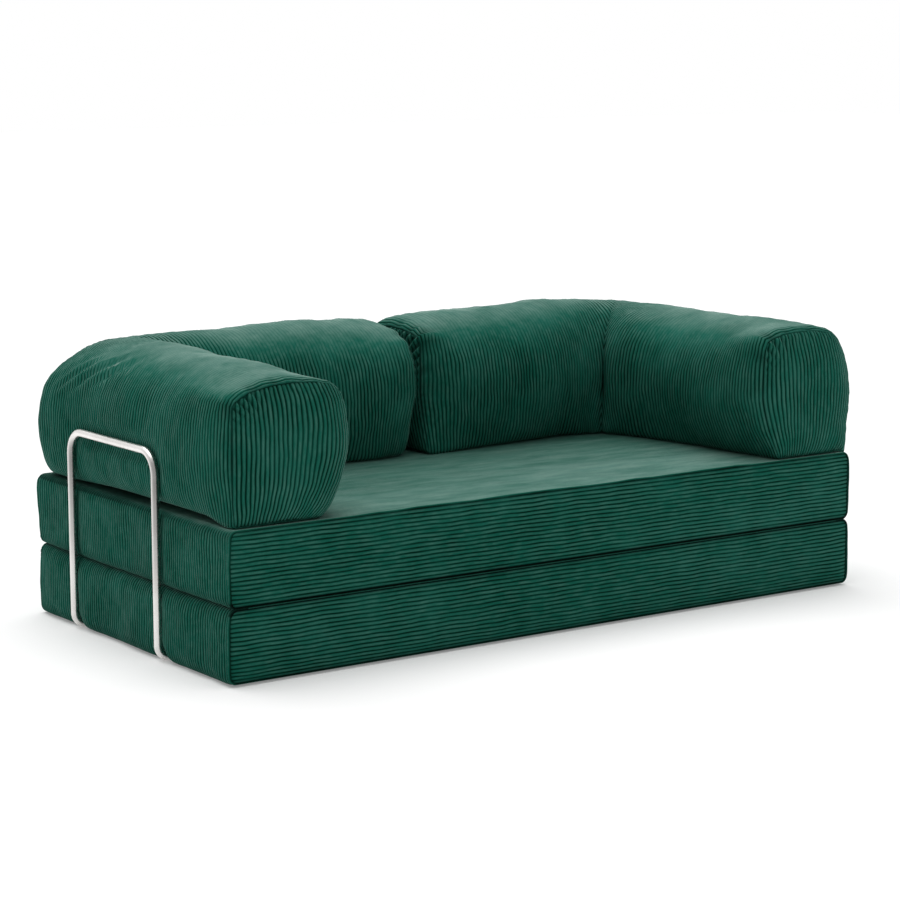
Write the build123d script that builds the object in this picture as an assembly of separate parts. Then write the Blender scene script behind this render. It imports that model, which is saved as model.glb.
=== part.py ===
from build123d import *
import os

# A sofa that unfolds into a double bed: two equal foam mattresses joined by a fabric hinge along the
# front edge, two loose L-shaped bolsters that make the arms and the back, and four bent steel tube
# brackets whose feet run under the lower mattress. Millimetres, +Z up, +X to the sitter's left hand
# as seen from the front, front towards -Y. The origin is on the floor under the middle of the sofa.

# Overall sizes
length = 2000
depth = 1000
mattress_height = 188
bolster_height = 374
arm_width = 345
back_width = 370

# Edges of the mattresses: soft rolls at the two ends, a sewn edge in front, a looser one behind
end_roll_radius = 28
front_edge_radius = 5
back_edge_radius = 12

# Layers from the outside in
cover_thickness = 2
wadding_thickness = 15
layer_gap = 0.3

# Bolsters
corner_radius = 75
bolster_spacing = 4
arm_end_round = 90
arm_end_bulge = 18
arm_seam_outer_draw = 20
arm_seam_inner_draw = 8
arm_seam_top_draw = 38
arm_seam_base_draw = 3
back_end_round = 130
back_end_bulge = 30
back_seam_outer_draw = 16
back_seam_inner_draw = 30
back_seam_top_draw = 52
back_seam_base_draw = 10

# Brackets. The shares say how far from the middle each stands, of half the depth or half the length
tube_radius = 10
tube_wall = 1.5
tube_clearance = 0.3
bracket_height = 531
bracket_spacing = 442
bracket_top_bend = 58
bracket_foot_bend = 30
bracket_foot_length = 250
side_bracket_share = 0.112
back_bracket_share = 0.48
cap_head = 3
cap_stem = 15
cap_fit = 0.1

# Zips
zip_channel_depth = 7
zip_channel_width = 26
zip_tape_width = 20
zip_coil_width = 5
zip_coil_height = 1.8
zip_end_margin = 60
slider_length = 12
slider_width = 10
slider_height = 5
slider_clearance = 0.3
pull_length = 18
pull_width = 6
pull_thickness = 1.2
bolster_zip_length = 620

# Fabric hinge
hinge_strip_width = 60
hinge_strip_thickness = 1
hinge_end_margin = 50

overrun = 5

seat_height = 2 * mattress_height
tube_line = tube_radius + tube_clearance

# The bolster's cross-section, as shares of its width from the outer side and of its height from the
# seat. It starts at the outer edge of the base. Arcs meet at every second point.
section_shares = [
    (0.064, 0), (0.030, 0.059), (0.013, 0.123), (0.001, 0.387), (0.029, 0.650),
    (0.184, 0.901), (0.478, 1), (0.780, 0.908), (0.962, 0.668), (0.996, 0.452),
    (0.959, 0.235), (0.911, 0.115), (0.849, 0),
]

# How far along the rounded stretch each station lies, before the seam of the end panel
round_shares = (0, 0.35, 0.6, 0.8, 0.93, 1)
# How far in from the seam each station of the bulging end panel lies, of half the section
panel_shares = (0.16, 0.34, 0.55)


def mattress_form(bottom, inset):
    """A mattress with rolled ends, shrunk by inset on all sides; bottom is the level of its base."""
    outline = RectangleRounded(
        length - 2 * inset, mattress_height - 2 * inset, end_roll_radius - inset
    )
    behind = Plane(
        origin=(0, depth / 2 - inset, bottom + mattress_height / 2), x_dir=(1, 0, 0), z_dir=(0, -1, 0)
    )
    form = extrude(behind * outline, depth - 2 * inset)
    front = form.faces().sort_by(Axis.Y)[0].edges()
    form = fillet(front, front_edge_radius - inset)
    back = form.faces().sort_by(Axis.Y)[-1].edges()
    return fillet(back, back_edge_radius - inset)


def bracket_line():
    """The centre line of a bracket that stands against a face at X = 0 with its feet towards +X."""
    top = bracket_height - tube_radius
    half = bracket_spacing / 2
    corners = [
        (bracket_foot_length, half, tube_radius),
        (-tube_line, half, tube_radius),
        (-tube_line, half, top),
        (-tube_line, -half, top),
        (-tube_line, -half, tube_radius),
        (bracket_foot_length, -half, tube_radius),
    ]
    bends = [bracket_foot_bend, bracket_top_bend, bracket_top_bend, bracket_foot_bend]
    return FilletPolyline(*corners, radius=bends)


def bracket_tube():
    line = bracket_line()
    ring = Circle(tube_radius) - Circle(tube_radius - tube_wall)
    return sweep(Plane(line @ 0, z_dir=line % 0) * ring, line)


def bracket_caps():
    """The two plugs that close the ends of a bracket's feet."""
    plug = Cylinder(tube_radius, cap_head, align=(Align.CENTER, Align.CENTER, Align.MIN))
    stem_radius = tube_radius - tube_wall - cap_fit
    plug += Cylinder(stem_radius, cap_stem, align=(Align.CENTER, Align.CENTER, Align.MAX))
    plug = fillet(plug.faces().sort_by(Axis.Z)[-1].edges(), cap_head / 2)
    half = bracket_spacing / 2
    ends = [
        Plane(origin=(bracket_foot_length, side * half, tube_radius), z_dir=(1, 0, 0))
        for side in (-1, 1)
    ]
    return [end * plug for end in ends]


def foot_grooves(grown):
    """What a bracket's feet, and the bends above them, press out of the mattress, grown by a layer."""
    across = 2 * (tube_line + grown)
    foot = bracket_foot_length + cap_head + tube_clearance + grown
    foot_top = 2 * tube_radius + tube_clearance + grown
    bend = bracket_foot_bend - tube_line + grown
    bend_top = tube_radius + bracket_foot_bend + grown
    grooves = []
    for side in (-1, 1):
        for run, top in ((foot, foot_top), (bend, bend_top)):
            block = Box(
                run + overrun, across, top + overrun, align=(Align.MIN, Align.CENTER, Align.MIN)
            )
            grooves.append(Pos(-overrun, side * bracket_spacing / 2, -overrun) * block)
    return Part() + grooves


def bracket_places():
    """Where each bracket stands: against each end, and behind each bolster."""
    end = length / 2
    rear = depth / 2
    return {
        "left": Pos(-end, side_bracket_share * rear, 0),
        "right": Pos(end, side_bracket_share * rear, 0) * Rot(0, 0, 180),
        "back_left": Pos(-back_bracket_share * end, rear, 0) * Rot(0, 0, -90),
        "back_right": Pos(back_bracket_share * end, rear, 0) * Rot(0, 0, -90),
    }


def section(place, width, draws):
    """The bolster's cross-section on a plane whose X runs in from the outer side."""
    outer, inner, top, base = draws
    across = width - outer - inner
    up = bolster_height - top - base
    points = [(outer + u * across, base + v * up) for u, v in section_shares]
    arcs = [ThreePointArc(*points[i:i + 3]) for i in range(0, len(points) - 1, 2)]
    return place * Face(Wire(arcs + [Line(points[-1], points[0])]))


def bolster_run(station, width, run, end_round, end_bulge, seam_draws, inset):
    """One leg of a bolster. station(distance) is the plane at that distance from its free end."""
    half = min(width, bolster_height) / 2
    sections = []
    for share in round_shares:
        drawn = 1 - (1 - share ** 2) ** 0.5
        draws = [inset + drawn * draw for draw in seam_draws]
        distance = end_bulge + inset + end_round * (1 - share)
        sections.append(section(station(distance), width, draws))
    for share in panel_shares:
        draws = [inset + draw + share * half for draw in seam_draws]
        distance = inset + end_bulge * (1 - share / panel_shares[-1]) ** 2
        sections.append(section(station(distance), width, draws))
    straight = loft([section(station(run), width, [inset] * 4), sections[0]], ruled=True)
    return straight + loft(sections, ruled=True)


def arm_run(inset):
    return bolster_run(
        lambda distance: Plane(
            origin=(-length / 2, -depth / 2 + distance, seat_height),
            x_dir=(1, 0, 0), z_dir=(0, -1, 0),
        ),
        arm_width, depth, arm_end_round, arm_end_bulge,
        (arm_seam_outer_draw, arm_seam_inner_draw, arm_seam_top_draw, arm_seam_base_draw),
        inset,
    )


def back_run(inset):
    return bolster_run(
        lambda distance: Plane(
            origin=(-bolster_spacing / 2 - distance, depth / 2, seat_height),
            x_dir=(0, -1, 0), z_dir=(-1, 0, 0),
        ),
        back_width, (length - bolster_spacing) / 2, back_end_round, back_end_bulge,
        (back_seam_outer_draw, back_seam_inner_draw, back_seam_top_draw, back_seam_base_draw),
        inset,
    )


def rounded_off(form, inset):
    """Rounds the bolster's outer corner, seen from above."""
    middle = Pos(-length / 2 + corner_radius, depth / 2 - corner_radius, seat_height)
    low = (Align.CENTER, Align.CENTER, Align.MIN)
    block = Pos(-corner_radius, corner_radius, 0) * Box(
        2 * corner_radius, 2 * corner_radius, bolster_height, align=low
    )
    round_post = Cylinder(corner_radius - inset, bolster_height, align=low)
    return form - middle * (block - round_post)


def arm_side():
    """A wedge that holds all of the left bolster on the arm's side of its mitre seam."""
    corner = (-length / 2, depth / 2)
    start = (corner[0] - arm_width / 2, corner[1] + back_width / 2)
    stop = (corner[0] + 3 * arm_width / 2, corner[1] - 3 * back_width / 2)
    plan = Polyline(start, stop, (stop[0], -depth), (start[0], -depth), close=True)
    return Pos(0, 0, mattress_height) * extrude(make_face(plan), 2 * bolster_height)


def zip_plane_behind(bottom):
    return Plane(origin=(0, depth / 2, bottom + mattress_height / 2), z_dir=(0, 1, 0), x_dir=(1, 0, 0))


def bolster_zip_plane():
    middle_share = (section_shares[0][0] + section_shares[-1][0]) / 2
    across = depth / 2 - middle_share * back_width
    along = -(length / 2 + back_end_bulge) / 2
    return Plane(origin=(along, across, seat_height), z_dir=(0, 0, -1), x_dir=(1, 0, 0))


def zip_channel(run, grown):
    """The recess that a zip lies in, open at Z = 0, grown by a layer."""
    return Box(
        run + 2 * grown, zip_channel_width + 2 * grown, zip_channel_depth + grown + overrun,
        align=(Align.CENTER, Align.CENTER, Align.MIN),
    ).moved(Location((0, 0, -zip_channel_depth - grown)))


def zip_tape(run):
    return Pos(0, 0, -zip_channel_depth) * Box(
        run, zip_tape_width, cover_thickness, align=(Align.CENTER, Align.CENTER, Align.MAX)
    )


def zip_strip(run):
    """The tape, sewn into the floor of the recess, with its closed coil."""
    coil = Pos(0, 0, -zip_channel_depth) * Box(
        run, zip_coil_width, zip_coil_height, align=(Align.CENTER, Align.CENTER, Align.MIN)
    )
    return zip_tape(run) + coil


def zip_slider(run):
    """The slider at the closed end of the coil, with its pull lying along the zip."""
    floor = -zip_channel_depth + slider_clearance
    low = (Align.CENTER, Align.CENTER, Align.MIN)
    body = Pos(0, 0, floor) * Box(slider_length, slider_width, slider_height, align=low)
    body = fillet(body.edges().filter_by(Axis.Z), slider_width / 5)
    body -= Pos(0, 0, floor) * Box(
        slider_length, zip_coil_width + 2 * slider_clearance, zip_coil_height, align=low
    )
    pull = Pos(0, 0, floor + slider_height) * Box(
        pull_length, pull_width, pull_thickness, align=(Align.MAX, Align.CENTER, Align.MAX)
    )
    hole = Cylinder(pull_width / 4, pull_thickness, align=(Align.CENTER, Align.CENTER, Align.MAX))
    pull -= Pos(pull_width / 2 - pull_length, 0, floor + slider_height) * hole
    return Pos(run / 2 - slider_length, 0, 0) * (body + pull)


def hinge_strip(level, side):
    """One leaf of the fabric hinge, above (side 1) or below (side -1) the fold at level."""
    lie = Align.MIN if side > 0 else Align.MAX
    return Pos(0, -depth / 2, level) * Box(
        length - 2 * hinge_end_margin, hinge_strip_width, hinge_strip_thickness,
        align=(Align.CENTER, Align.MIN, lie),
    )


def make_mattress(name, bottom, leaf_side, pressed):
    """One mattress. pressed(grown) is what other pieces press out of it, or None."""
    run = length - 2 * (end_roll_radius + zip_end_margin)
    place = zip_plane_behind(bottom)
    leaf = hinge_strip(mattress_height, leaf_side)
    foam_inset = cover_thickness + layer_gap

    cover = mattress_form(bottom, 0) - place * zip_channel(run, 0) - leaf
    hollow = mattress_form(bottom, cover_thickness) - place * zip_channel(run, cover_thickness)
    foam = mattress_form(bottom, foam_inset) - place * zip_channel(run, foam_inset)
    if pressed:
        cover -= pressed(0)
        hollow -= pressed(cover_thickness)
        foam -= pressed(foam_inset)
    cover = cover - hollow - place * zip_tape(run)
    return {
        f"{name}_cover": cover,
        f"{name}_foam": foam,
        f"{name}_zip": place * zip_strip(run),
        f"{name}_zip_slider": place * zip_slider(run),
        f"{name}_hinge_leaf": leaf,
    }


def make_left_bolster():
    """Each leg has its own cover panel, wadding wrap and foam block, which meet at the mitre."""
    wedge = arm_side()
    place = bolster_zip_plane()
    wadding_inset = cover_thickness + layer_gap
    foam_inset = wadding_inset + wadding_thickness + layer_gap
    nodes = {}
    for leg, make_run in (("arm", arm_run), ("back", back_run)):
        def cut(form):
            return form & wedge if leg == "arm" else form - wedge

        def layer(inset):
            return rounded_off(make_run(inset), inset)

        cover = layer(0)
        hollow = layer(cover_thickness)
        wadding = layer(wadding_inset)
        if leg == "back":
            cover -= place * zip_channel(bolster_zip_length, 0)
            hollow -= place * zip_channel(bolster_zip_length, cover_thickness)
            wadding -= place * zip_channel(bolster_zip_length, wadding_inset)
            cover -= place * zip_tape(bolster_zip_length)
        wadding -= layer(foam_inset - layer_gap)
        nodes[f"{leg}_cover"] = cut(cover - hollow)
        nodes[f"{leg}_wadding"] = cut(wadding)
        nodes[f"{leg}_foam"] = cut(layer(foam_inset))
    nodes["bolster_zip"] = place * zip_strip(bolster_zip_length)
    nodes["bolster_zip_slider"] = place * zip_slider(bolster_zip_length)
    return nodes


def main():
    places = bracket_places()

    def pressed(grown):
        shape = foot_grooves(grown)
        return [place * shape for place in places.values()]

    nodes = make_mattress("lower", 0, -1, pressed)
    nodes.update(make_mattress("upper", mattress_height, 1, None))
    for name, shape in make_left_bolster().items():
        nodes[f"left_{name}"] = shape
        nodes[f"right_{name}"] = mirror(shape, about=Plane.YZ)
    for name, place in places.items():
        nodes[f"{name}_bracket"] = place * bracket_tube()
        nodes[f"{name}_bracket_caps"] = Compound(children=[place * cap for cap in bracket_caps()])

    os.makedirs("parts", exist_ok=True)
    for name, shape in nodes.items():
        export_step(shape, f"parts/{name}.step")


main()
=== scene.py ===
import math

import bpy
import numpy as np
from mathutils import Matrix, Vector


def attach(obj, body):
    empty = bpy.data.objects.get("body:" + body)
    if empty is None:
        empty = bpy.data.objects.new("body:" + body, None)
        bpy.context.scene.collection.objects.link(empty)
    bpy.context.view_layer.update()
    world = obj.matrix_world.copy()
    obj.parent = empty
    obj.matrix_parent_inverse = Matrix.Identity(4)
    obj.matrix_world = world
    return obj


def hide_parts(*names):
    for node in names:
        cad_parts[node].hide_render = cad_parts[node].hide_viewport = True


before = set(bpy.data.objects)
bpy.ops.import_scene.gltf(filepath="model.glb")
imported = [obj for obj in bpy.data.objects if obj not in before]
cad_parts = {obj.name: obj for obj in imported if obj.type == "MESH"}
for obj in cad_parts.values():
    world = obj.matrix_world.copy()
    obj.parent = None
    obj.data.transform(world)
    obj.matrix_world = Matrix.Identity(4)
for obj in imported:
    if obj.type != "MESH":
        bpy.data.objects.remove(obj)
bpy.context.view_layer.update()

# Sizes of the solids, in metres. GAP lies between the two bolsters.
LENGTH, DEPTH, SLAB, BOLSTER = 2.0, 1.0, 0.188, 0.374
SEAT = 2 * SLAB
ARM_WIDTH, BACK_WIDTH = 0.345, 0.370
GAP = 0.004

# The brackets: the tube's radius, the distance of its centre line from the face behind it, half the
# distance of the posts, the level of the top bar, the reach of the feet, the radii of the bends, and
# where the side ones stand along the depth and the rear ones along the length
TUBE, TUBE_LINE = 0.010, 0.0103
POST, BAR, TOE = 0.221, 0.521, 0.253
FOOT_BEND, TOP_BEND = 0.030, 0.058
SIDE_PLACE, REAR_PLACE = 0.056, 0.48

# Sizes of the cloth: pitch and height of the wales, the roll at the mattresses' ends, the bolsters'
# outer corner, the bead in a seam and how deep it lies, and the least distance from a neighbour
WALE, RIDGE = 0.011, 0.0024
END_ROLL, CORNER = 0.022, 0.062
BEAD, BEAD_DEPTH = 0.0055, 0.0085
TOUCH = 0.0004

# Below this level a bracket presses the cloth upwards, and above it inwards
FOOT_ZONE = 0.05
# The inner faces of the back and the arms, as seen on the seat
SEAT_BACK, SEAT_SIDE = 0.125, 0.65
# How many points are compared with a bracket at a time
BLOCK = 20000

# One wale, from valley to valley: where its samples lie and how high they are
PHASE = np.array([0.0, 0.11, 0.28, 0.5, 0.72, 0.89])
SHAPE = np.array([0.0, 0.42, 0.90, 1.0, 0.90, 0.42])

# The bolster's cross-section, as in the solids: shares of width from the outer side and of height.
# CENTRE is a point inside it, in the same shares, about which angles are measured.
SECTION = [
    (0.064, 0), (0.030, 0.059), (0.013, 0.123), (0.001, 0.387), (0.029, 0.650),
    (0.184, 0.901), (0.478, 1), (0.780, 0.908), (0.962, 0.668), (0.996, 0.452),
    (0.959, 0.235), (0.911, 0.115), (0.849, 0),
]
CENTRE = (0.49, 0.46)

# The free end of each leg:
# seam      outline in millimetres from the outer side and above the seat
# corners   the outline's outer foot, outer top, inner top and inner foot
# wales     how many cross the panel
# round     length of the rounded edge along the leg
# rolls     size of that edge at the top, on the outer side and on the inner side
# carry     how far along the leg the end's shape carries
# bulge     how far the middle of the panel stands out
# turn      where the panel turns round the side: angle and depth
# tucks     angle, width and strength of each group, and how many would go all round
# line      how much painted shade darkens the seam
ENDS = {
    "left_arm": {
        "seam": [
            (24, 3), (20, 60), (20, 120), (21, 200), (22, 262), (23, 290), (34, 305), (76, 325),
            (135, 335), (201, 338), (261, 335), (308, 325), (338, 304), (355, 266), (362, 204),
            (358, 140), (344, 75), (320, 28), (292, 3), (200, 2), (100, 2),
        ],
        "corners": [(24, 3), (24, 296), (340, 300), (292, 3)],
        "wales": 28, "round": 0.034, "rolls": (0.009, 0.016, 0.003), "carry": 0.30, "bulge": 0.018,
        "turn": (0.0, 0.040), "tucks": ([(2.33, 0.26, 2.6), (1.75, 0.6, 1.2)], 50), "line": 0.60,
    },
    "right_arm": {
        "seam": [
            (272, 3), (290, 88), (300, 171), (302, 251), (302, 298), (297, 325), (271, 337),
            (242, 345), (191, 350), (126, 350), (66, 339), (22, 315), (-12, 277), (-34, 228),
            (-43, 168), (-38, 108), (-22, 50), (-6, 14), (8, 2), (120, 2), (200, 2),
        ],
        "corners": [(10, 3), (-2, 292), (298, 320), (272, 3)],
        "wales": 28, "round": 0.034, "rolls": (0.015, 0.003, 0.016), "carry": 0.22, "bulge": 0.018,
        "turn": (math.pi, 0.034), "tucks": ([(0.88, 0.32, 2.6), (1.5, 0.6, 0.9)], 50), "line": 0.30,
    },
    "left_back": {
        "seam": [
            (34, 5), (22, 28), (16, 50), (12, 138), (22, 230), (74, 310), (172, 340), (262, 334),
            (318, 308), (346, 262), (352, 190), (340, 110), (316, 50), (286, 5), (200, 4), (100, 4),
        ],
        "corners": [(34, 5), (40, 270), (330, 295), (286, 5)],
        "wales": 30, "round": 0.060, "rolls": (0.020, 0.012, 0.016), "carry": 0.16, "bulge": 0.016,
        "turn": (-1.0, 0.030), "tucks": ([(1.0, 0.7, 1.2)], 50), "line": 0.60,
    },
    "right_back": {
        "seam": [
            (30, 4), (18, 50), (12, 138), (20, 235), (60, 308), (110, 334), (170, 340), (215, 338),
            (270, 330), (300, 322), (312, 308), (315, 250), (316, 148), (312, 60), (306, 4),
            (200, 3), (100, 3),
        ],
        "corners": [(30, 4), (40, 290), (308, 317), (306, 4)],
        "wales": 30, "round": 0.044, "rolls": (0.018, 0.012, 0.014), "carry": 0.14, "bulge": 0.015,
        "turn": (0.0, 0.0), "line": 0.60,
        "tucks": ([(0.86, 0.36, 3.6), (1.35, 0.5, 1.8), (0.0, 0.9, 1.0)], 44),
    },
}

# Wrinkles of the bolsters: from, to, half width and depth
WRINKLES = {
    "left": [
        ((-0.998, 0.31, 0.620), (-0.925, 0.10, 0.738), 0.0085, 0.0070),
        ((-0.994, 0.21, 0.640), (-0.915, 0.01, 0.742), 0.0078, 0.0062),
        ((-1.000, 0.39, 0.610), (-0.940, 0.20, 0.730), 0.0085, 0.0060),
        ((-0.988, 0.12, 0.660), (-0.925, -0.04, 0.738), 0.0072, 0.0046),
        ((-0.975, 0.02, 0.690), (-0.905, -0.13, 0.742), 0.0066, 0.0030),
        ((-0.700, -0.30, 0.690), (-0.668, -0.10, 0.640), 0.0060, 0.0012),
        ((-0.420, 0.150, 0.655), (-0.300, 0.170, 0.700), 0.0060, 0.0012),
    ],
    "right": [
        ((0.664, -0.462, 0.628), (0.667, -0.395, 0.630), 0.0040, 0.0024),
        ((0.668, -0.440, 0.645), (0.670, -0.370, 0.655), 0.0045, 0.0012),
        ((0.690, -0.05, 0.690), (0.720, 0.12, 0.725), 0.0060, 0.0012),
        ((0.560, 0.160, 0.690), (0.640, 0.200, 0.730), 0.0055, 0.0013),
        ((0.120, 0.150, 0.680), (0.200, 0.190, 0.725), 0.0060, 0.0012),
        ((0.045, 0.190, 0.700), (0.060, 0.330, 0.735), 0.0070, 0.0030),
        ((0.075, 0.240, 0.722), (0.085, 0.400, 0.740), 0.0075, 0.0026),
    ],
}


def smooth(x):
    """Rises from 0 to 1 with x, without a kink at either end."""
    x = np.clip(x, 0, 1)
    return x * x * (3 - 2 * x)


def near(distance, width):
    """1 at no distance, falling away like a bell over width."""
    return np.exp(-(distance / width) ** 2)


def ripple(*waves):
    """A smooth irregular field: each wave is (x, y, z turns per metre, phase, height)."""
    def field(p):
        total = 0
        for x, y, z, phase, height in waves:
            turns = x * p[..., 0] + y * p[..., 1] + z * p[..., 2]
            total = total + height * np.sin(2 * math.pi * turns + phase)
        return total
    return field


lumps = ripple(
    (2.1, 1.3, 0.7, 0.4, 1.0), (-1.2, 2.6, 1.1, 1.9, 0.8), (3.4, -2.2, 2.0, 4.1, 0.6),
    (5.1, 4.2, -1.6, 2.6, 0.4), (-6.3, 3.1, 4.4, 0.9, 0.3), (0.8, -7.2, 5.3, 5.2, 0.25),
)
wobble = ripple(
    (4.1, 7.3, 5.2, 0.8, 1.0), (-8.7, 6.1, 9.4, 3.1, 0.8), (13.0, -11.0, 15.0, 1.3, 0.5),
)
jitter = ripple(
    (17.0, 9.0, 6.0, 0.3, 1.0), (-11.0, 21.0, 8.0, 2.2, 0.8), (25.0, -14.0, 19.0, 4.0, 0.6),
)


def arc_through(a, b, c, count):
    """Points on the circle through three points, from a towards c."""
    (ax, ay), (bx, by), (cx, cy) = a, b, c
    d = 2 * (ax * (by - cy) + bx * (cy - ay) + cx * (ay - by))
    sa, sb, sc = ax * ax + ay * ay, bx * bx + by * by, cx * cx + cy * cy
    ox = (sa * (by - cy) + sb * (cy - ay) + sc * (ay - by)) / d
    oy = (sa * (cx - bx) + sb * (ax - cx) + sc * (bx - ax)) / d
    r = math.hypot(ax - ox, ay - oy)
    t0 = math.atan2(ay - oy, ax - ox)
    t1, t2 = math.atan2(by - oy, bx - ox), math.atan2(cy - oy, cx - ox)
    turn = (t2 - t0) % (2 * math.pi)
    if (t1 - t0) % (2 * math.pi) > turn:
        turn -= 2 * math.pi
    angles = [t0 + turn * i / count for i in range(count)]
    return [(ox + r * math.cos(t), oy + r * math.sin(t)) for t in angles]


def travelled(line):
    """The distance along a flat line at each of its points."""
    return np.concatenate([[0], np.cumsum(np.hypot(*np.diff(line, axis=0).T))])


def resample(loop, count):
    """A closed line of count points at even distances."""
    loop = np.vstack([loop, loop[:1]])
    run = travelled(loop)
    at = np.linspace(0, run[-1], count, endpoint=False)
    return np.column_stack([np.interp(at, run, loop[:, 0]), np.interp(at, run, loop[:, 1])])


def soften(loop, width):
    """Rounds the corners of an evenly sampled closed line, over width samples."""
    reach = int(3 * width)
    kernel = np.exp(-0.5 * (np.arange(-reach, reach + 1) / width) ** 2)
    kernel /= kernel.sum()
    out = []
    for k in range(2):
        around = np.concatenate([loop[-reach:, k], loop[:, k], loop[:reach, k]])
        out.append(np.convolve(around, kernel, "valid"))
    return np.column_stack(out)


def body_profile(width):
    """The cross-section from its innermost point, along the base, up the outer side and over the crown."""
    points = [(u * width, v * BOLSTER) for u, v in SECTION]
    line = []
    for i in range(0, len(points) - 1, 2):
        line += arc_through(*points[i:i + 3], 40)
    line += [(points[-1][0] + (points[0][0] - points[-1][0]) * i / 60, 0) for i in range(60)]
    loop = soften(resample(np.array(line), 1200), 11)
    loop[:, 1] = np.maximum(loop[:, 1], 0.0006)
    loop = loop[::-1]
    start = int(np.argmax(loop[:, 0]))
    loop = np.roll(loop, -start, axis=0)
    return np.vstack([loop, loop[:1]])


def along(line, share):
    """Points of a line at shares of its length."""
    run = travelled(line)
    return np.column_stack([np.interp(share * run[-1], run, line[:, k]) for k in range(2)])


def fill_outline(loop, corners, across, up):
    """Points inside a closed line, laid out between its four corners: rows across, columns upwards."""
    index = [int(np.argmin(np.hypot(*(loop - np.array(c)).T))) for c in corners]

    def arc(i, j):
        forward = (j - i) % len(loop)
        if forward <= len(loop) / 2:
            return loop[(i + np.arange(forward + 1)) % len(loop)]
        return loop[(i - np.arange(len(loop) - forward + 1)) % len(loop)]

    foot_out, top_out, top_in, foot_in = index
    outer, inner = along(arc(foot_out, top_out), up)[None], along(arc(foot_in, top_in), up)[None]
    foot = along(arc(foot_out, foot_in), across)[:, None]
    top = along(arc(top_out, top_in), across)[:, None]
    a, f = across[:, None, None], up[None, :, None]
    corner = (1 - a) * (1 - f) * loop[foot_out] + (1 - a) * f * loop[top_out]
    corner = corner + a * f * loop[top_in] + a * (1 - f) * loop[foot_in]
    return (1 - a) * outer + a * inner + (1 - f) * foot + f * top - corner


def polar(loop, centre):
    """Radius of a closed line as a function of the angle about centre."""
    d = loop - centre
    angle, radius = np.arctan2(d[:, 1], d[:, 0]), np.hypot(d[:, 0], d[:, 1])
    order = np.argsort(angle)
    angle, radius = angle[order], radius[order]
    return lambda a: np.interp(a, angle, radius, period=2 * math.pi)


def section_angle(u, z, width):
    """The angle of a point of a leg about the centre of its cross-section."""
    return np.arctan2(z - BOLSTER * CENTRE[1], u - width * CENTRE[0])


def outward_normals(p, outward):
    """The normals of a grid, turned so that on the whole they point the way that outward does."""
    n = np.cross(np.gradient(p, axis=1), np.gradient(p, axis=0))
    size = np.linalg.norm(n, axis=2, keepdims=True)
    bad = size[..., 0] < 1e-12
    n = n / np.maximum(size, 1e-12)
    if bad.any():
        n[bad] = n[~bad].mean(0)
    return -n if (n * outward).sum() < 0 else n


def make_piece(name, parts, material):
    """A mesh of several grids: parts are (points, wale, shade, joins, flip), each rows by columns.
    joins says, row by row, whether its last column closes on the first. flip turns the faces over."""
    verts, faces, wales, shades, base = [], [], [], [], 0
    for points, wale, shade, joins, flip in parts:
        rows, cols = points.shape[:2]
        index = base + np.arange(rows * cols).reshape(rows, cols)
        if joins is not None:
            index[joins, -1] = index[joins, 0]
        quads = np.stack([index[:-1, :-1], index[:-1, 1:], index[1:, 1:], index[1:, :-1]], axis=-1)
        quads = quads.reshape(-1, 4)
        verts.append(points.reshape(-1, 3))
        wales.append(wale.reshape(-1))
        shades.append(shade.reshape(-1))
        faces.append(quads[:, ::-1] if flip else quads)
        base += rows * cols
    verts, faces = np.vstack(verts), np.vstack(faces)
    wales, shades = np.concatenate(wales), np.concatenate(shades)
    used = np.zeros(len(verts), bool)
    used[faces.ravel()] = True
    renumber = np.cumsum(used) - 1
    verts, faces, wales, shades = verts[used], renumber[faces], wales[used], shades[used]

    mesh = bpy.data.meshes.new(name)
    mesh.vertices.add(len(verts))
    mesh.vertices.foreach_set("co", verts.astype(np.float32).ravel())
    mesh.loops.add(len(faces) * 4)
    mesh.loops.foreach_set("vertex_index", faces.astype(np.int32).ravel())
    mesh.polygons.add(len(faces))
    mesh.polygons.foreach_set("loop_start", (np.arange(len(faces)) * 4).astype(np.int32))
    mesh.polygons.foreach_set("use_smooth", np.ones(len(faces), bool))
    mesh.update(calc_edges=True)
    for key, values in (("wale", wales), ("shade", shades)):
        data = mesh.attributes.new(key, "FLOAT", "POINT").data
        data.foreach_set("value", values.astype(np.float32))
    mesh.materials.append(material)
    piece = bpy.data.objects.new(name, mesh)
    bpy.context.scene.collection.objects.link(piece)
    return piece


def wales_between(low, high, count=None):
    """Positions and heights of the samples of whole wales from low to high."""
    count = count or max(1, round((high - low) / WALE))
    at = (np.arange(count)[:, None] + PHASE[None, :]).ravel() / count
    height = np.tile(SHAPE, count)
    return np.append(low + at * (high - low), high), np.append(height, 0.0)


def finish_surface(p, normal, wale, offset, depth=RIDGE):
    """Moves a surface out by offset, with its wales cut in to depth."""
    return p + normal * (offset + (wale - 1) * depth)[..., None]


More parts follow.
